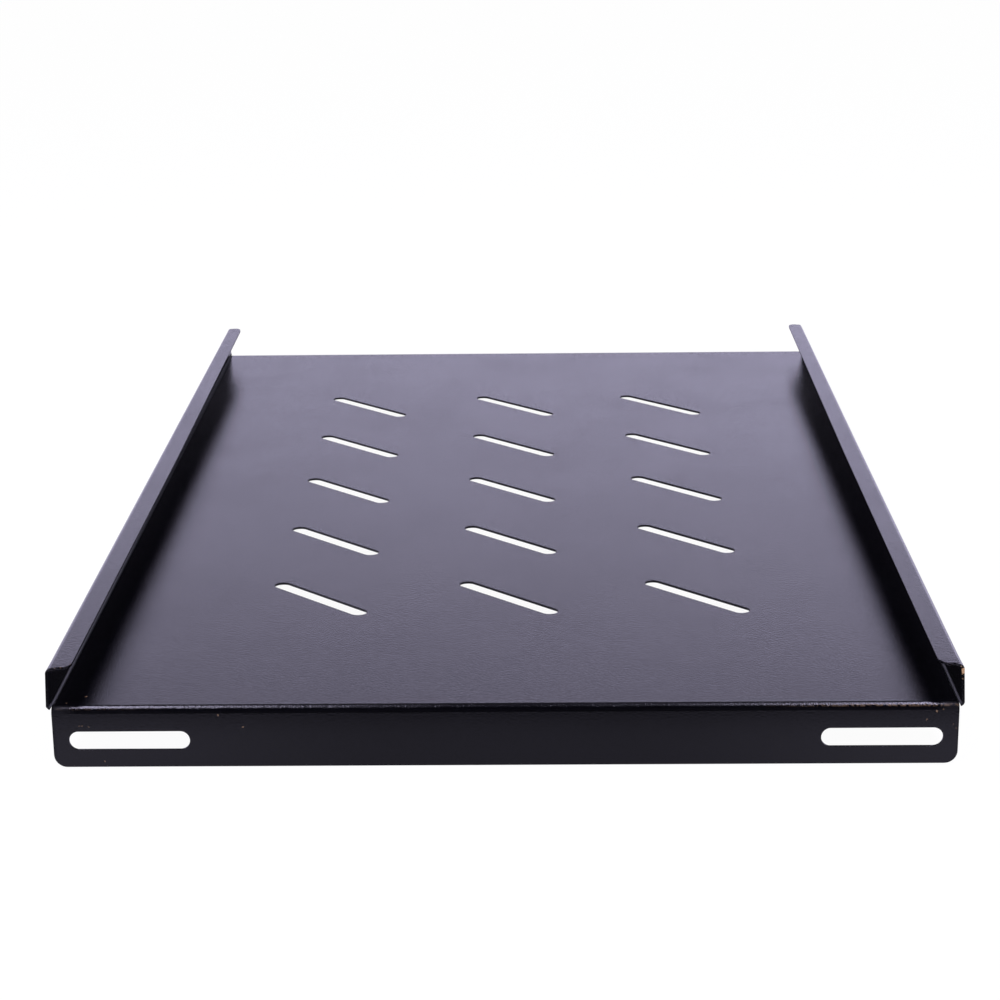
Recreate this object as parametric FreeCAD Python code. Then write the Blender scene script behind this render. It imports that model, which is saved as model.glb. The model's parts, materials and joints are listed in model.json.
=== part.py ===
import FreeCAD, Part
import math
import os

# A rack shelf folded from one sheet of steel: a flat deck with slanted vents, a bolting flange turned
# down at the front and at the back, and a side wall turned up at each side with its top lip turned in.
#
# Frame: X across the rack, +X to the right seen from the front. Y runs from the front to the back,
# and the front flange faces -Y. +Z is up.
# Origin: the middle of the shelf's width and depth, at the height of the flanges' lower edges, which
# the shelf stands on.

# The sheet and its folds
SHEET_THICKNESS = 1.5
INNER_FOLD_RADIUS = 2.5
LIP_INNER_FOLD_RADIUS = 1.0

# Overall size
OVERALL_WIDTH = 485.0
OVERALL_DEPTH = 800.0

# Side walls and their lips
WALL_RISE = 22.3
LIP_WIDTH = 12.5
LIP_END_SLANT = 10.0
LIP_CORNER_RADIUS = 6.0

# Front and rear flanges
FLANGE_DROP = 34.2
FLANGE_INSET = 2.0
FLANGE_CORNER_RADIUS = 7.0

# Bolt slots, one near each end of each flange
SLOT_LENGTH = 64.5
SLOT_WIDTH = 10.4
SLOT_END_MARGIN = 8.25

# Vents in the deck
VENT_LENGTH = 80.0
VENT_WIDTH = 10.3
VENT_PITCH = 112.4
VENT_COLUMNS = 3
VENT_ROWS = 5
VENT_ANGLE = -45.0
VENTS_FORWARD = 2.0

# Sizes that follow from the ones above
OUTER_FOLD_RADIUS = INNER_FOLD_RADIUS + SHEET_THICKNESS
HALF_WIDTH = OVERALL_WIDTH / 2
HALF_DEPTH = OVERALL_DEPTH / 2
DECK_TOP = FLANGE_DROP
DECK_UNDERSIDE = DECK_TOP - SHEET_THICKNESS
LIP_TOP = DECK_TOP + WALL_RISE
LIP_UNDERSIDE = LIP_TOP - SHEET_THICKNESS
WALL_INNER_X = HALF_WIDTH - SHEET_THICKNESS
LIP_EDGE_X = HALF_WIDTH - LIP_WIDTH
DECK_EDGE_X = HALF_WIDTH - OUTER_FOLD_RADIUS
DECK_EDGE_Y = HALF_DEPTH - OUTER_FOLD_RADIUS
FLANGE_WIDTH = OVERALL_WIDTH - 2 * FLANGE_INSET
SLOT_SPACING = FLANGE_WIDTH - 2 * SLOT_END_MARGIN - SLOT_LENGTH
SLOT_HEIGHT = (FLANGE_DROP - OUTER_FOLD_RADIUS) / 2
CUT_MARGIN = SHEET_THICKNESS
SAME_POINT = 1e-6

X_AXIS = FreeCAD.Vector(1, 0, 0)
Y_AXIS = FreeCAD.Vector(0, 1, 0)
Z_AXIS = FreeCAD.Vector(0, 0, 1)


def in_xz(x, z):
    """A point of a section across the shelf."""
    return FreeCAD.Vector(x, 0, z)


def in_yz(y, z):
    """A point of a section from front to back."""
    return FreeCAD.Vector(0, y, z)


def rounded_path(corners, radii):
    """A chain of straight edges through the corners, with each inner corner turned on its own arc."""
    edges = []
    start = corners[0]
    for before, corner, after, radius in zip(corners, corners[1:], corners[2:], radii):
        back = (before - corner).normalize()
        ahead = (after - corner).normalize()
        half_angle = back.getAngle(ahead) / 2
        reach = radius / math.tan(half_angle)
        to_centre = (back + ahead).normalize()
        arc_start = corner + back * reach
        arc_middle = corner + to_centre * (radius / math.sin(half_angle) - radius)
        arc_end = corner + ahead * reach
        if not start.isEqual(arc_start, SAME_POINT):
            edges.append(Part.makeLine(start, arc_start))
        edges.append(Part.Arc(arc_start, arc_middle, arc_end).toShape())
        start = arc_end
    edges.append(Part.makeLine(start, corners[-1]))
    return edges


def folded_section(outside, inside, inner_radii):
    """The cut face of the folded sheet, from the corners of its outside and inside faces."""
    edges = rounded_path(outside, [radius + SHEET_THICKNESS for radius in inner_radii])
    edges.append(Part.makeLine(outside[-1], inside[-1]))
    edges.extend(rounded_path(inside, inner_radii))
    edges.append(Part.makeLine(inside[0], outside[0]))
    return Part.Face(Part.Wire(Part.__sortEdges__(edges)))


def plan_prism(corners, bottom, top):
    """An upright prism over a polygon given by its plan corners."""
    points = [FreeCAD.Vector(x, y, bottom) for x, y in corners]
    face = Part.Face(Part.makePolygon(points + points[:1]))
    return face.extrude(Z_AXIS * (top - bottom))


def obround_prism(length, width, height):
    """An upright obround prism, long along X, centred on the origin in plan and starting at Z zero."""
    radius = width / 2
    reach = length / 2 - radius
    front_left = FreeCAD.Vector(-reach, -radius, 0)
    front_right = FreeCAD.Vector(reach, -radius, 0)
    back_right = FreeCAD.Vector(reach, radius, 0)
    back_left = FreeCAD.Vector(-reach, radius, 0)
    right_tip = FreeCAD.Vector(length / 2, 0, 0)
    left_tip = FreeCAD.Vector(-length / 2, 0, 0)
    outline = Part.Wire([
        Part.makeLine(front_left, front_right),
        Part.Arc(front_right, right_tip, back_right).toShape(),
        Part.makeLine(back_right, back_left),
        Part.Arc(back_left, left_tip, front_left).toShape(),
    ])
    return Part.Face(outline).extrude(Z_AXIS * height)


def deck_with_flanges():
    """The flat deck with its front and rear flanges folded down."""
    outside = [
        in_yz(-HALF_DEPTH, 0),
        in_yz(-HALF_DEPTH, DECK_TOP),
        in_yz(HALF_DEPTH, DECK_TOP),
        in_yz(HALF_DEPTH, 0),
    ]
    inside = [
        in_yz(-HALF_DEPTH + SHEET_THICKNESS, 0),
        in_yz(-HALF_DEPTH + SHEET_THICKNESS, DECK_UNDERSIDE),
        in_yz(HALF_DEPTH - SHEET_THICKNESS, DECK_UNDERSIDE),
        in_yz(HALF_DEPTH - SHEET_THICKNESS, 0),
    ]
    radii = [INNER_FOLD_RADIUS, INNER_FOLD_RADIUS]
    strip = folded_section(outside, inside, radii).extrude(X_AXIS * FLANGE_WIDTH)
    strip.translate(X_AXIS * (-FLANGE_WIDTH / 2))
    # Between the flanges the flat deck ends where the side folds begin.
    margin_width = HALF_WIDTH - DECK_EDGE_X
    for corner_x in (-HALF_WIDTH, DECK_EDGE_X):
        margin = Part.makeBox(
            margin_width,
            2 * DECK_EDGE_Y,
            DECK_TOP + CUT_MARGIN,
            FreeCAD.Vector(corner_x, -DECK_EDGE_Y, 0),
        )
        strip = strip.cut(margin)
    return strip


def side_wall():
    """The right-hand fold, wall, upper fold and lip, at full depth and before its ends are trimmed."""
    outside = [
        in_xz(DECK_EDGE_X, DECK_UNDERSIDE),
        in_xz(HALF_WIDTH, DECK_UNDERSIDE),
        in_xz(HALF_WIDTH, LIP_TOP),
        in_xz(LIP_EDGE_X, LIP_TOP),
    ]
    inside = [
        in_xz(DECK_EDGE_X, DECK_TOP),
        in_xz(WALL_INNER_X, DECK_TOP),
        in_xz(WALL_INNER_X, LIP_UNDERSIDE),
        in_xz(LIP_EDGE_X, LIP_UNDERSIDE),
    ]
    radii = [INNER_FOLD_RADIUS, LIP_INNER_FOLD_RADIUS]
    wall = folded_section(outside, inside, radii).extrude(Y_AXIS * OVERALL_DEPTH)
    wall.translate(Y_AXIS * (-HALF_DEPTH))
    return wall


def trim_lip(wall):
    """Cuts both ends of the right-hand lip at a slant and rounds their inboard corners."""
    inner_x = LIP_EDGE_X - CUT_MARGIN
    setback = (WALL_INNER_X - inner_x) * math.tan(math.radians(LIP_END_SLANT))
    for end in (-1, 1):
        corners = [
            (WALL_INNER_X, end * HALF_DEPTH),
            (inner_x, end * HALF_DEPTH),
            (inner_x, end * (HALF_DEPTH - setback)),
        ]
        wall = wall.cut(plan_prism(corners, LIP_UNDERSIDE - CUT_MARGIN, LIP_TOP + CUT_MARGIN))
    sharp = [edge for edge in wall.Edges if is_upright(edge) and is_on_lip_edge(edge)]
    return wall.makeFillet(LIP_CORNER_RADIUS, sharp)


def is_upright(edge):
    """True for a straight edge that runs along Z."""
    start = edge.Vertexes[0].Point
    finish = edge.Vertexes[-1].Point
    rise = abs(finish.z - start.z)
    return rise > 0 and math.isclose(edge.Length, rise)


def is_on_lip_edge(edge):
    """True for an edge in the plane of the right-hand lip's free edge."""
    return math.isclose(edge.CenterOfMass.x, LIP_EDGE_X)


def is_flange_corner(edge):
    """True for a front-to-back edge through the flange sheet at one of its lower corners."""
    middle = edge.CenterOfMass
    low = math.isclose(middle.z, 0, abs_tol=SHEET_THICKNESS / 2)
    outboard = math.isclose(abs(middle.x), FLANGE_WIDTH / 2)
    return low and outboard and math.isclose(edge.Length, SHEET_THICKNESS)


def bolt_slots():
    """Cutters for the bolt slots, each passing through the front and the rear flange."""
    cutters = []
    length = OVERALL_DEPTH + 2 * CUT_MARGIN
    for side in (-1, 1):
        cutter = obround_prism(SLOT_LENGTH, SLOT_WIDTH, length)
        cutter.rotate(FreeCAD.Vector(), X_AXIS, -90)
        cutter.translate(FreeCAD.Vector(side * SLOT_SPACING / 2, -length / 2, SLOT_HEIGHT))
        cutters.append(cutter)
    return cutters


def deck_vents():
    """Cutters for the slanted vents, in straight columns and rows a little forward of the middle."""
    cutters = []
    height = SHEET_THICKNESS + 2 * CUT_MARGIN
    for column in range(VENT_COLUMNS):
        for row in range(VENT_ROWS):
            x = (column - (VENT_COLUMNS - 1) / 2) * VENT_PITCH
            y = (row - (VENT_ROWS - 1) / 2) * VENT_PITCH - VENTS_FORWARD
            cutter = obround_prism(VENT_LENGTH, VENT_WIDTH, height)
            cutter.rotate(FreeCAD.Vector(), Z_AXIS, VENT_ANGLE)
            cutter.translate(FreeCAD.Vector(x, y, DECK_UNDERSIDE - CUT_MARGIN))
            cutters.append(cutter)
    return cutters


def build_shelf():
    """The whole folded sheet as one solid."""
    plate = deck_with_flanges()
    plate = plate.makeFillet(FLANGE_CORNER_RADIUS, [edge for edge in plate.Edges if is_flange_corner(edge)])
    right = trim_lip(side_wall())
    left = right.mirror(FreeCAD.Vector(), X_AXIS)
    shelf = plate.fuse([right, left]).removeSplitter()
    shelf = shelf.cut(bolt_slots() + deck_vents())
    return shelf.Solids[0]


os.makedirs("parts", exist_ok=True)
shelf = build_shelf()
shelf.exportStep("parts/shelf.step")
box = shelf.BoundBox
print("shelf", shelf.isValid(), round(shelf.Volume), box)
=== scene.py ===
import json
import math

import bmesh
import bpy
from mathutils import Matrix, Vector, noise


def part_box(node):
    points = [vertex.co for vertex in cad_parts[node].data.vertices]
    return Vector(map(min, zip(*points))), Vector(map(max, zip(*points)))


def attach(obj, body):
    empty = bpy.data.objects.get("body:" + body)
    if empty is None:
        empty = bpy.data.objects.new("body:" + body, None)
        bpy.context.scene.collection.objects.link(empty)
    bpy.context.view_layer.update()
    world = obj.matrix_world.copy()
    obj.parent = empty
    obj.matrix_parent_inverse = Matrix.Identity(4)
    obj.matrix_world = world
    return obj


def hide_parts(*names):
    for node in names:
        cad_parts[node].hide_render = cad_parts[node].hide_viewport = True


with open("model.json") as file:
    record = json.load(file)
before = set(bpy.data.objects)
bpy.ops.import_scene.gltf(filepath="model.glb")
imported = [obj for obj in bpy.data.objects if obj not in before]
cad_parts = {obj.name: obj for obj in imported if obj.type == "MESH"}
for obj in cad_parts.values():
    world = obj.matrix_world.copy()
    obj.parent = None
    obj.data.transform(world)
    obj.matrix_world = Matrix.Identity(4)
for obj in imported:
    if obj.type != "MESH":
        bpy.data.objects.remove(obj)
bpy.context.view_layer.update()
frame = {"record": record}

# ---------------------------------------------------------------------------------------------------
# The shelf: one sheet of 1.5 mm steel, laser cut flat with its vents and bolt slots, then folded on a
# press brake: flanges down, walls up, lips in. It is powder coated black after folding. It stands on
# its flanges, and bolts go through their slots. A slit in each corner lets flanges and walls part.

# Sizes of the sheet, of its folds and of the forms folded from it.
half_width, half_depth, lip_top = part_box("shelf")[1]
mounts = {mount["name"]: mount for mount in frame["record"]["mounts"]}
bolt_slot = mounts["front_slots"]["dims"]
deck_top = mounts["deck"]["pos_m"][2]
sheet = 0.0015
fold_inside = 0.0025
side_fold_inside = 0.0015
lip_fold_inside = 0.001
lip_width = 0.0125
lip_slant = math.radians(10)
lip_corner = 0.006
flange_inset = 0.0016
flange_corner = 0.007
slit = 0.00015
vent_length = 0.080
vent_width = 0.0103
vent_pitch = 0.1124
vents_forward = 0.002

# How this shelf differs from a true one: cuts, and how far its walls and lips sprang or were pushed.
right_trim = 0.0006
lip_rear_setback = 0.0065
lip_taper = 0.0006
lip_opening = 0.0015
ragged_depth = 0.0013
ragged_swell = 0.0002
left_spring = {"front": 0.0005, "back": 0.0004, "flare": 0.0009}
right_spring = {"front": 0.0017, "back": 0.0026, "flare": 0.0}
front_pull = 0.0015
front_sag = 0.0005
left_bulge = 0.0007
right_bulge = 0.0001

# Where each form starts: on the folded shelf, and across and along the flat blank.
fold_outside = fold_inside + sheet
fold_middle = fold_inside + sheet / 2
fold_flat = fold_middle * math.pi / 2
side_fold_outside = side_fold_inside + sheet
side_fold_middle = side_fold_inside + sheet / 2
side_fold_flat = side_fold_middle * math.pi / 2
lip_fold_outside = lip_fold_inside + sheet
lip_fold_middle = lip_fold_inside + sheet / 2
lip_fold_flat = lip_fold_middle * math.pi / 2
fold_x = half_width - side_fold_outside
fold_y = half_depth - fold_outside
lip_fold_x = half_width - lip_fold_outside
low_fold_z = deck_top - sheet + side_fold_outside
high_fold_z = lip_top - lip_fold_outside
flange_fold_z = deck_top - fold_outside
wall_flat = high_fold_z - low_fold_z
wall_inner_x = half_width - sheet
lip_edge_x = half_width - lip_width
flange_x = half_width - flange_inset
lip_fold_start = fold_x + side_fold_flat + wall_flat
lip_flat_start = lip_fold_start + lip_fold_flat
blank_x = lip_flat_start + lip_fold_x - lip_edge_x
blank_y = fold_y + fold_flat + flange_fold_z
slant_start = lip_fold_start + lip_fold_middle * math.acos((wall_inner_x - lip_fold_x) / lip_fold_middle)
slant_setback = (wall_inner_x - lip_edge_x) * math.tan(lip_slant)
lip_end_y = half_depth - slant_setback - lip_corner
near = 1e-6

# A quarter of the blank's outline is drawn, its corners are rounded, and it is mirrored both ways.
blank = bmesh.new()
edge_mark = blank.faces.layers.float.new("lip_edge")
corners = [
    (0, -blank_y), (flange_x, -blank_y), (flange_x, -fold_y), (fold_x, -fold_y), (fold_x, slit - fold_y),
    (flange_x + slit, slit - fold_y), (flange_x + slit, -half_depth), (slant_start, -half_depth),
    (blank_x, slant_setback - half_depth), (blank_x, 0),
]
outline = [blank.verts.new((x, y, 0)) for x, y in corners]
for pair in zip(outline, outline[1:]):
    blank.edges.new(pair)
flange_tip = outline[1]
slant_tip, lip_tip = outline[-3:-1]
corner_reach = lip_corner * math.tan(math.pi / 4 - lip_slant / 2)
for tip, offset, segments in ((flange_tip, flange_corner, 10), (lip_tip, corner_reach, 12)):
    bmesh.ops.bevel(blank, geom=[tip], offset=offset, segments=segments, profile=0.5,
                    affect="VERTICES", material=-1)
slant = [edge for edge in slant_tip.link_edges if edge.calc_length() < lip_width
         and abs(edge.verts[0].co.y - edge.verts[1].co.y) > near]
bmesh.ops.subdivide_edges(blank, edges=slant, cuts=16)
for axis in "XY":
    bmesh.ops.mirror(blank, geom=blank.verts[:] + blank.edges[:], merge_dist=near, axis=axis)
bmesh.ops.remove_doubles(blank, verts=blank.verts[:], dist=near)

# The cuts that aren't true: the right flange ends, the lips' rear corners, torn front ends and taper.
for vert in blank.verts:
    reach = abs(vert.co.x)
    at_flange_end = flange_x - flange_corner - near < vert.co.x < flange_x + slit + near
    if at_flange_end and abs(vert.co.x - fold_x) > near:
        vert.co.x -= right_trim
    if reach > slant_start and vert.co.y > lip_end_y:
        share = min(1, (reach - slant_start) / (blank_x - slant_start))
        vert.co.y -= lip_rear_setback * (1 - math.sqrt(1 - share ** 2))
    if reach > slant_start and -vert.co.y > lip_end_y:
        vert.co.y += ragged_depth * (0.4 + noise.noise(vert.co * 400))
    if reach > lip_flat_start and vert.co.y > 0:
        share = (reach - lip_flat_start) / (blank_x - lip_flat_start)
        vert.co.x -= math.copysign(lip_taper * share * vert.co.y / half_depth, vert.co.x)


def cut_obround(length, width, place):
    """Cuts the outline of a round-ended slot into the blank."""
    ring = bmesh.ops.create_circle(blank, radius=width / 2, segments=50)["verts"]
    for vert in ring:
        vert.co.x += math.copysign((length - width) / 2, vert.co.x)
    bmesh.ops.transform(blank, matrix=place, verts=ring)


vent_slant = Matrix.Rotation(math.radians(-45), 4, "Z")
for column in (-1, 0, 1):
    for row in (-2, -1, 0, 1, 2):
        centre = Matrix.Translation((column * vent_pitch, row * vent_pitch - vents_forward, 0))
        cut_obround(vent_length, vent_width, centre @ vent_slant)
slot_x = bolt_slot["spacing_x_mm"] / 2000
slot_y = blank_y - mounts["front_slots"]["pos_m"][2]
for side in (-1, 1):
    for end in (-1, 1):
        centre = Matrix.Translation((side * slot_x, end * slot_y, 0))
        cut_obround(bolt_slot["slot_length_mm"] / 1000, bolt_slot["hole_r_mm"] / 500, centre)
bmesh.ops.triangle_fill(blank, use_beauty=False, use_dissolve=True, edges=blank.edges[:], normal=(0, 0, 1))

# The blank is divided where it will bend, and near the walls' ends.
across, along = Vector((1, 0, 0)), Vector((0, 1, 0))
fold_steps = 12
wall_end = 0.012


def divide(direction, reach):
    """Divides the flat blank along a line on each side of its middle."""
    for side in (-1, 1):
        bmesh.ops.bisect_plane(blank, geom=blank.verts[:] + blank.edges[:] + blank.faces[:],
                               dist=1e-7, plane_co=direction * reach * side, plane_no=direction)


divide(along, half_depth - wall_end)
divide(along, half_depth - wall_end / 2)
for step in range(fold_steps + 1):
    share = step / fold_steps
    divide(across, fold_x + side_fold_flat * share)
    divide(across, lip_fold_start + lip_fold_flat * share)
    divide(along, fold_y + fold_flat * share)

# It gets its thickness and its eased arrises.
arris = 0.00016
bmesh.ops.translate(blank, verts=blank.verts[:], vec=(0, 0, -sheet / 2))
raised = bmesh.ops.extrude_face_region(blank, geom=blank.faces[:])["geom"]
bmesh.ops.translate(blank, verts=[part for part in raised if isinstance(part, bmesh.types.BMVert)],
                    vec=(0, 0, sheet))
bmesh.ops.recalc_face_normals(blank, faces=blank.faces[:])
sharp = [edge for edge in blank.edges if edge.calc_face_angle(0) > 1
         and abs(edge.verts[0].co.z - edge.verts[1].co.z) < sheet / 2]
bmesh.ops.bevel(blank, geom=sharp, offset=arris, segments=2, profile=0.5, affect="EDGES",
                material=-1, clamp_overlap=False, face_strength_mode="NEW")
for face in blank.faces:
    at_lip_edge = abs(face.calc_center_median().x) > blank_x - 2 * lip_taper
    face[edge_mark] = float(at_lip_edge and abs(face.normal.z) < 0.99)


def folded_side(reach, face):
    """Where the flat sheet goes across a side: its x and z, for a distance from the deck's middle."""
    run = reach - fold_x
    if run <= side_fold_flat:
        angle, radius = run / side_fold_middle, side_fold_middle - face
        return fold_x + radius * math.sin(angle), low_fold_z - radius * math.cos(angle)
    run -= side_fold_flat
    if run <= wall_flat:
        return half_width - sheet / 2 - face, low_fold_z + run
    run -= wall_flat
    if run <= lip_fold_flat:
        angle, radius = run / lip_fold_middle, lip_fold_middle - face
        return lip_fold_x + radius * math.cos(angle), high_fold_z + radius * math.sin(angle)
    run -= lip_fold_flat
    return lip_fold_x - run, lip_top - sheet / 2 - face


def folded_end(reach, face):
    """Where the flat sheet goes over an end: its y and z, for a distance from the deck's middle."""
    run = reach - fold_y
    if run <= 0:
        return reach, deck_top - sheet / 2 + face
    if run <= fold_flat:
        angle, radius = run / fold_middle, fold_middle + face
        return fold_y + radius * math.sin(angle), flange_fold_z + radius * math.cos(angle)
    return half_depth - sheet / 2 + face, flange_fold_z - (run - fold_flat)


def spring_in(x, y):
    """How far the top of a wall leans in. The last 80 mm at the front and 150 mm at the back lean less."""
    spring = left_spring if x < 0 else right_spring
    share = (y + half_depth) / (2 * half_depth)
    near_front = max(0, 1 - (y + half_depth) / 0.08)
    near_back = max(0, 1 - (half_depth - y) / 0.15)
    lean = spring["front"] + (spring["back"] - spring["front"]) * share
    return lean * (1 - 0.45 * near_front ** 2) - spring["flare"] * near_back


def folded_wall(x, y, face):
    """Where a point of a side goes: folded, sprung, and at its front end pulled forward and bulged."""
    reach, z = folded_side(abs(x), face)
    rise = max(0, (z - low_fold_z) / (lip_top - low_fold_z))
    upright = min(1, (z - deck_top + sheet) / side_fold_outside)
    opening = max(0, abs(x) - lip_flat_start) / (blank_x - lip_flat_start) * max(0, y) / half_depth
    pulled = max(0, 1 - (y + half_depth) / wall_end) ** 2
    pulled *= min(1, (blank_x - abs(x)) / (blank_x - lip_fold_start))
    bulge = (left_bulge if x < 0 else right_bulge) * pulled * upright ** 2 * (1 - 0.8 * rise)
    sag = front_sag * pulled * upright * max(0, 1 - 2 * rise)
    return Vector((math.copysign(reach - spring_in(x, y) * rise + bulge, x), y - front_pull * pulled,
                   z + lip_opening * opening - sag))


for vert in blank.verts:
    x, y, face = vert.co
    flange_end = flange_x + slit / 2 - (right_trim if x > 0 else 0)
    if abs(y) > fold_y - slit / 2 and abs(x) < flange_end:
        reach, z = folded_end(abs(y), face)
        vert.co = (x, math.copysign(reach, y), z)
    elif abs(x) > fold_x:
        vert.co = folded_wall(x, y, face)
        if abs(x) > slant_start and -y > lip_end_y:
            swell = [noise.noise(vert.co * 900 + Vector((0, 0, 40 * axis))) for axis in range(3)]
            vert.co += Vector(swell) * ragged_swell
    else:
        vert.co.z = deck_top - sheet / 2 + face
bmesh.ops.recalc_face_normals(blank, faces=blank.faces[:])

mesh = bpy.data.meshes.new("shelf_sheet")
blank.to_mesh(mesh)
blank.free()
mesh.shade_smooth()
shelf = bpy.data.objects.new("shelf_sheet", mesh)
bpy.context.scene.collection.objects.link(shelf)
flat_faces = shelf.modifiers.new("flat_faces", "WEIGHTED_NORMAL")
flat_faces.weight = 50
flat_faces.use_face_influence = True
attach(shelf, "root")
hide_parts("shelf")


def add_math(tree, operation, first, second):
    """A Math node in a node tree, fed by sockets or set to numbers. Returns its output."""
    node = tree.nodes.new("ShaderNodeMath")
    node.operation = operation
    for socket, value in zip(node.inputs, (first, second)):
        if isinstance(value, (int, float)):
            socket.default_value = value
        else:
            tree.links.new(value, socket)
    return node.outputs["Value"]


def multiply(tree, first, *others):
    """A chain of Math nodes that multiplies sockets or numbers. Returns its output."""
    for other in others:
        first = add_math(tree, "MULTIPLY", first, other)
    return first


def add_range(tree, value, start, finish, low_out=0.0, high_out=1.0):
    """A smooth Map Range node from start..finish to low_out..high_out. Returns its output."""
    node = tree.nodes.new("ShaderNodeMapRange")
    node.interpolation_type = "SMOOTHSTEP"
    node.inputs["From Min"].default_value = start
    node.inputs["From Max"].default_value = finish
    node.inputs["To Min"].default_value = low_out
    node.inputs["To Max"].default_value = high_out
    tree.links.new(value, node.inputs["Value"])
    return node.outputs["Result"]


def add_axes(tree, vector):
    """The X, Y and Z of a vector socket, and the size of X."""
    axes = tree.nodes.new("ShaderNodeSeparateXYZ")
    tree.links.new(vector, axes.inputs["Vector"])
    x, y, z = axes.outputs
    return x, y, z, add_math(tree, "ABSOLUTE", x, 0.0)


def add_noise(tree, where, scale, detail):
    """A Noise Texture node over a vector socket. Returns the node."""
    node = tree.nodes.new("ShaderNodeTexNoise")
    node.inputs["Scale"].default_value = scale
    node.inputs["Detail"].default_value = detail
    tree.links.new(where, node.inputs["Vector"])
    return node


# The finish: one baked coat of fine-texture black powder, semi-gloss, uneven in sheen.
black = (0.0016, 0.0015, 0.0026, 1)
# The bronze of bare steel where the coat is gone, also used as the colour of the painted glints on the
# lips' front ends.
bronze_and_glint = (0.52, 0.33, 0.19, 1)
coat = bpy.data.materials.new("black_powder_coat")
coat.use_nodes = True
tree = coat.node_tree
nodes, links = tree.nodes, tree.links
shader = nodes["Principled BSDF"]
shader.inputs["IOR"].default_value = 1.45
place = nodes.new("ShaderNodeTexCoord").outputs["Object"]
x, y, z, out_x = add_axes(tree, place)

grain = add_noise(tree, place, 1000, 2)
bump = nodes.new("ShaderNodeBump")
bump.inputs["Strength"].default_value = 1
bump.inputs["Distance"].default_value = 0.00015
links.new(grain.outputs["Fac"], bump.inputs["Height"])
links.new(bump.outputs["Normal"], shader.inputs["Normal"])

# Thin powder is rough: inside the side folds, at the front bend's ends and on the lips' cut edges.
blotches = add_noise(tree, place, 14, 3)
sheen = add_range(tree, blotches.outputs["Fac"], 0.3, 0.7, 0.13, 0.18)
inside_fold = multiply(tree, add_range(tree, out_x, fold_x - 0.0004, fold_x + 0.0002),
                       add_range(tree, z, deck_top + 0.0018, deck_top + 0.0012),
                       add_range(tree, y, -0.2, 0.1, 0.5, 0.82))
bend_end = multiply(tree, add_range(tree, out_x, 0.22, 0.24, 0.0, 0.5),
                    add_range(tree, y, 0.0045 - half_depth, 0.0025 - half_depth),
                    add_range(tree, z, deck_top - 0.006, deck_top - 0.004),
                    add_range(tree, z, deck_top + 0.001, deck_top))
lip_edge = nodes.new("ShaderNodeAttribute")
lip_edge.attribute_name = "lip_edge"
cut_edge = multiply(tree, lip_edge.outputs["Fac"], 0.25)
roughness = sheen
for rough_spot in (inside_fold, bend_end, cut_edge):
    roughness = add_math(tree, "MAXIMUM", roughness, rough_spot)
links.new(roughness, shader.inputs["Roughness"])

# Chips, where the coat is knocked off, and painted glints: the middle, the size and the depth of each
# spot.
wall_front = half_depth + front_pull - 0.0002
chips_and_glints = [
    ((-0.2247, -0.3843, deck_top), 0.0006, 0.35), ((-0.2251, -0.3848, deck_top), 0.0005, 0.2),
    ((-0.2337, -0.3935, deck_top), 0.0006, 0.3), ((-0.2265, -half_depth, 0.0236), 0.0004, 0.3),
    ((-0.2249, -half_depth, 0.0236), 0.0004, 0.3), ((-0.2215, -half_depth, 0.0230), 0.0005, 0.25),
    ((-0.2138, -half_depth, 0.0034), 0.0006, 0.3), ((-0.1522, -half_depth, 0.0295), 0.0006, 0.3),
    ((-0.1391, -half_depth, 0.0226), 0.0006, 0.3), ((0.2284, -half_depth, 0.0297), 0.0007, 0.35),
    ((0.2319, -half_depth, 0.0308), 0.0005, 0.3), ((0.2233, -half_depth, 0.0249), 0.0005, 0.3),
    ((0.2372, -half_depth, 0.0223), 0.0006, 0.08), ((0.2389, -half_depth, 0.0200), 0.0006, 0.08),
    ((0.2412, -wall_front, 0.0529), 0.0018, 1.0), ((0.2400, -wall_front, 0.0516), 0.0010, 0.8),
    # The spots at lip_top, along the lips' torn front ends, are painted glints: lighter patches that stand
    # in for highlights, not chips.
    ((0.2409, -wall_front, 0.0484), 0.0006, 0.35), ((-0.2396, -0.4009, lip_top), 0.0005, 0.3),
    ((-0.2374, -0.4003, lip_top), 0.0005, 0.25), ((-0.2346, -0.3990, lip_top), 0.0006, 0.3),
    ((-0.2299, -0.3941, lip_top), 0.0006, 0.25), ((0.2371, -0.4007, lip_top), 0.0006, 0.7),
    ((0.2338, -0.4000, lip_top), 0.0006, 0.3), ((0.2399, -0.4012, lip_top - 0.0012), 0.0006, 0.3),
]
spot_wander = 0.0014
wander = add_noise(tree, place, 1400, 1)
shift = nodes.new("ShaderNodeVectorMath")
shift.operation = "MULTIPLY_ADD"
shift.inputs[1].default_value = (spot_wander, spot_wander, spot_wander)
links.new(wander.outputs["Color"], shift.inputs[0])
links.new(place, shift.inputs[2])
bare_and_glint = 0.0
for middle, size, depth in chips_and_glints:
    gap = nodes.new("ShaderNodeVectorMath")
    gap.operation = "DISTANCE"
    gap.inputs[1].default_value = [value + spot_wander / 2 for value in middle]
    links.new(shift.outputs["Vector"], gap.inputs[0])
    chip_and_glint = add_range(tree, gap.outputs["Value"], size, size * 0.7, 0, depth)
    bare_and_glint = add_math(tree, "MAXIMUM", chip_and_glint, bare_and_glint)

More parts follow.
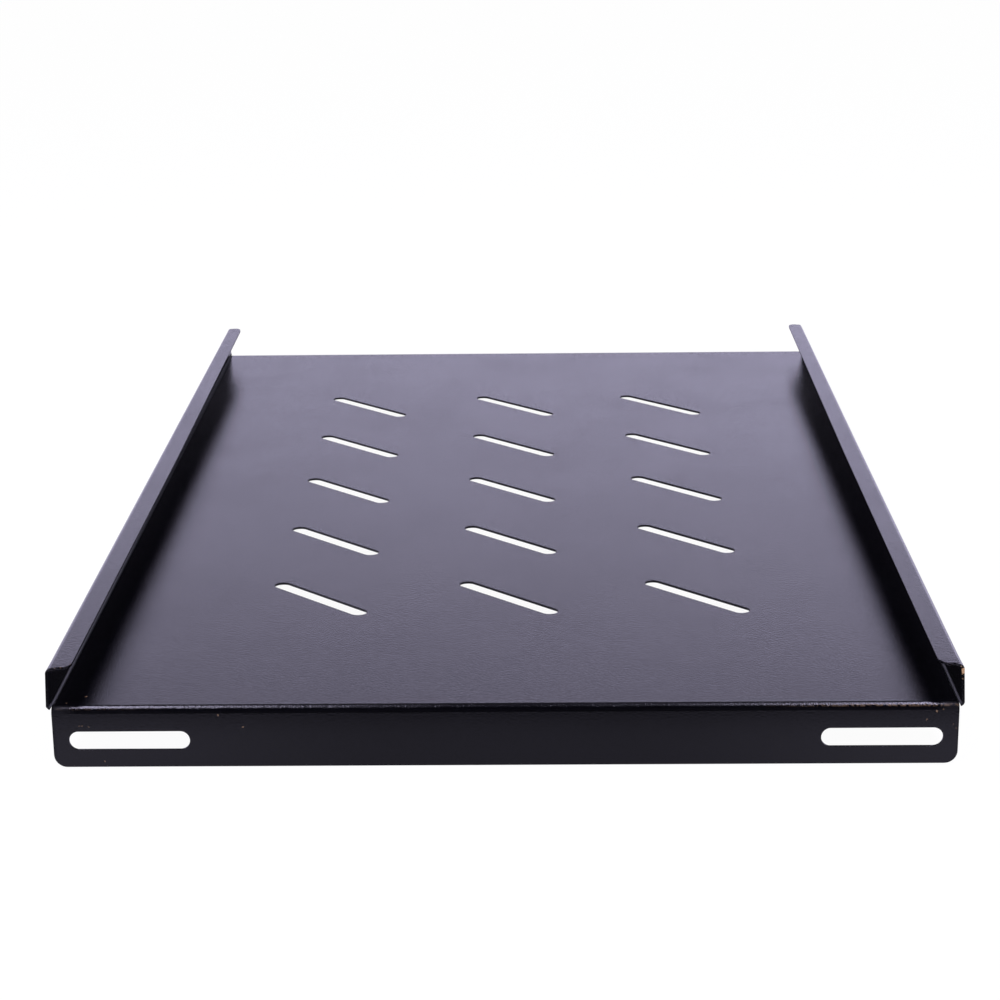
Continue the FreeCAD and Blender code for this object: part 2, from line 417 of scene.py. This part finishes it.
# Rubbed spots along the front bend, thick towards its right end and sparse towards its left end.
rub_low, rub_high, rub_blur = deck_top - 0.0019, deck_top - 0.0009, 0.0003
dashes = add_noise(tree, place, 700, 2)
crowding = add_math(tree, "MAXIMUM", add_range(tree, x, 0.13, 0.21),
                    add_range(tree, x, -0.17, -0.22, 0.0, 0.2))
rubbed = multiply(tree, add_range(tree, dashes.outputs["Fac"], 0.42, 0.56), crowding,
                  add_range(tree, z, rub_low - rub_blur, rub_low + rub_blur),
                  add_range(tree, z, rub_high + rub_blur, rub_high - rub_blur),
                  add_range(tree, y, 0.004 - half_depth, 0.002 - half_depth), 0.17)
bare_and_glint = add_math(tree, "MAXIMUM", bare_and_glint, rubbed)

# The black coat, mixed towards bronze where it is chipped or rubbed, and where glints are painted on the
# lips' front ends.
skin = nodes.new("ShaderNodeMix")
skin.data_type = "RGBA"
skin.inputs["A"].default_value = black
skin.inputs["B"].default_value = bronze_and_glint
links.new(bare_and_glint, skin.inputs["Factor"])
links.new(skin.outputs["Result"], shader.inputs["Base Color"])
mesh.materials.append(coat)

# ---------------------------------------------------------------------------------------------------
# The floor: a plain sheet of white paper that the shelf stands on, and which keeps its faint shadow.
# Where the front flange mirrors it, the paper glows with painted light: a painted shade beyond the first
# 75 mm in front, and painted brightness to the sides.
floor_mesh = bpy.data.meshes.new("floor")
paper_sheet = bmesh.new()
bmesh.ops.create_grid(paper_sheet, x_segments=1, y_segments=1, size=6)
paper_sheet.to_mesh(floor_mesh)
paper_sheet.free()
floor = bpy.data.objects.new("floor", floor_mesh)
bpy.context.scene.collection.objects.link(floor)


def add_shader(tree, kind, colour, strength=None):
    """A Diffuse, Emission or Background shader of one colour. Returns its output."""
    node = tree.nodes.new(kind)
    node.inputs["Color"].default_value = (*colour, 1)
    if isinstance(strength, (int, float)):
        node.inputs["Strength"].default_value = strength
    elif strength:
        tree.links.new(strength, node.inputs["Strength"])
    return node.outputs[0]


def by_ray(tree, lighting, mirrored, seen):
    """One shader as the camera sees it, one as a gloss mirrors it, and one for all other light."""
    path = tree.nodes.new("ShaderNodeLightPath")
    result = lighting
    for ray, choice in (("Is Glossy Ray", mirrored), ("Is Camera Ray", seen)):
        mix = tree.nodes.new("ShaderNodeMixShader")
        tree.links.new(path.outputs[ray], mix.inputs["Fac"])
        tree.links.new(result, mix.inputs[1])
        tree.links.new(choice, mix.inputs[2])
        result = mix.outputs["Shader"]
    return result


paper = bpy.data.materials.new("white_paper")
paper.use_nodes = True
tree = paper.node_tree
tree.nodes.clear()
x, y, z, out_x = add_axes(tree, tree.nodes.new("ShaderNodeTexCoord").outputs["Object"])
# Painted shade and brightness of the paper as gloss mirrors it: dim beyond the first 75 mm in front,
# brighter to the sides.
painted_floor_light = multiply(tree, add_range(tree, y, -0.484, -0.472, 0.1, 1.0),
                 add_range(tree, out_x, 0.06, 0.24, 1.0, 1.5))
shadowed = tree.nodes.new("ShaderNodeAddShader")
tree.links.new(add_shader(tree, "ShaderNodeBsdfDiffuse", (0.05, 0.05, 0.05)), shadowed.inputs[0])
tree.links.new(add_shader(tree, "ShaderNodeEmission", (1, 1, 1), 0.96), shadowed.inputs[1])
plain = add_shader(tree, "ShaderNodeBsdfDiffuse", (0.8, 0.8, 0.8))
mirrored = add_shader(tree, "ShaderNodeEmission", (0.41, 0.39, 0.51), painted_floor_light)
surface = tree.nodes.new("ShaderNodeOutputMaterial")
tree.links.new(by_ray(tree, plain, mirrored, shadowed.outputs["Shader"]), surface.inputs["Surface"])
floor_mesh.materials.append(paper)

# ---------------------------------------------------------------------------------------------------
# The surround: a pale backdrop of cloth that rises behind the shelf, brightest low down and darker
# overhead, at its foot and in front. What is mirrored twice is dimmed, as the coat's texture does.
world = bpy.data.worlds.new("studio")
bpy.context.scene.world = world
world.use_nodes = True
tree = world.node_tree
tree.nodes.clear()
x, y, z, out_x = add_axes(tree, tree.nodes.new("ShaderNodeTexCoord").outputs["Generated"])
levels_by_height = [(0.0, 1.3), (0.17, 1.75), (0.235, 1.4), (0.262, 1.1), (0.3, 0.84), (0.34, 0.65),
                    (0.38, 0.59), (0.5, 0.42), (0.62, 0.15), (1.0, 0.1)]
second_mirroring = 0.08
backdrop = tree.nodes.new("ShaderNodeValToRGB")
ramp = backdrop.color_ramp.elements
for height, level in levels_by_height[1:-1]:
    ramp.new(height)
for element, (height, level) in zip(ramp, levels_by_height):
    element.color = (level, level, level, 1)
tree.links.new(z, backdrop.inputs["Fac"])
mirrorings = add_math(tree, "SUBTRACT", tree.nodes.new("ShaderNodeLightPath").outputs["Ray Depth"], 2.0)
to_the_right = add_range(tree, x, -0.2, 0.2, 0.93, 1.07)
in_front = multiply(tree, add_range(tree, y, -0.45, -0.15, 0.96, 0.0),
                    add_range(tree, out_x, 0.3, 0.5, 1.0, 0.0))
at_foot = multiply(tree, add_range(tree, z, 0.08, 0.18, 0.85, 0.0),
                   add_range(tree, out_x, 0.18, 0.3, 1.0, 0.0))
level = multiply(tree, backdrop.outputs["Color"], add_math(tree, "POWER", second_mirroring, mirrorings),
                 to_the_right, add_math(tree, "SUBTRACT", 1.0, in_front),
                 add_math(tree, "SUBTRACT", 1.0, at_foot))
soft = add_shader(tree, "ShaderNodeBackground", (0.6, 0.6, 0.6))
mirrored = add_shader(tree, "ShaderNodeBackground", (1.0, 0.946, 1.304), level)
white = add_shader(tree, "ShaderNodeBackground", (1, 1, 1))
surround = tree.nodes.new("ShaderNodeOutputWorld")
tree.links.new(by_ray(tree, soft, mirrored, white), surround.inputs["Surface"])

# ---------------------------------------------------------------------------------------------------
# The lamps: two soft boxes hung overhead, left and right of the shelf's front edge. Each fades towards
# the middle, so a dark gap is left between them.
for side in (-1, 1):
    light = bpy.data.lights.new("soft_box", "AREA")
    light.shape = "RECTANGLE"
    light.size = 0.36
    light.size_y = 1.25
    light.energy = 34.0
    light.color = (0.78, 0.74, 1.0)
    light.use_nodes = True
    tree = light.node_tree
    x, y, z, out_x = add_axes(tree, tree.nodes.new("ShaderNodeNewGeometry").outputs["Position"])
    tree.links.new(add_range(tree, out_x, 0.36, 0.64), tree.nodes["Emission"].inputs["Strength"])
    lamp = bpy.data.objects.new("soft_box", light)
    lamp.location = (side * 0.53, -0.40, 1.8)
    bpy.context.scene.collection.objects.link(lamp)

# ---------------------------------------------------------------------------------------------------
# The camera: a long lens on a stand in front of the shelf, a little right of its middle, looking down
# on it.
camera_place = (0.019854, -1.595976, 0.512098)
turned_left, looking_down, tilted = (math.radians(angle) for angle in (1.004221, 16.940170, -0.665896))
lens = bpy.data.cameras.new("camera")
lens.sensor_width = 36.0
lens.lens = 87.3242
camera = bpy.data.objects.new("camera", lens)
bpy.context.scene.collection.objects.link(camera)
camera.matrix_world = (Matrix.Translation(camera_place) @ Matrix.Rotation(turned_left, 4, "Z")
                       @ Matrix.Rotation(math.pi / 2 - looking_down, 4, "X")
                       @ Matrix.Rotation(tilted, 4, "Z"))
bpy.context.scene.camera = camera
bpy.context.scene.view_settings.view_transform = "Standard"
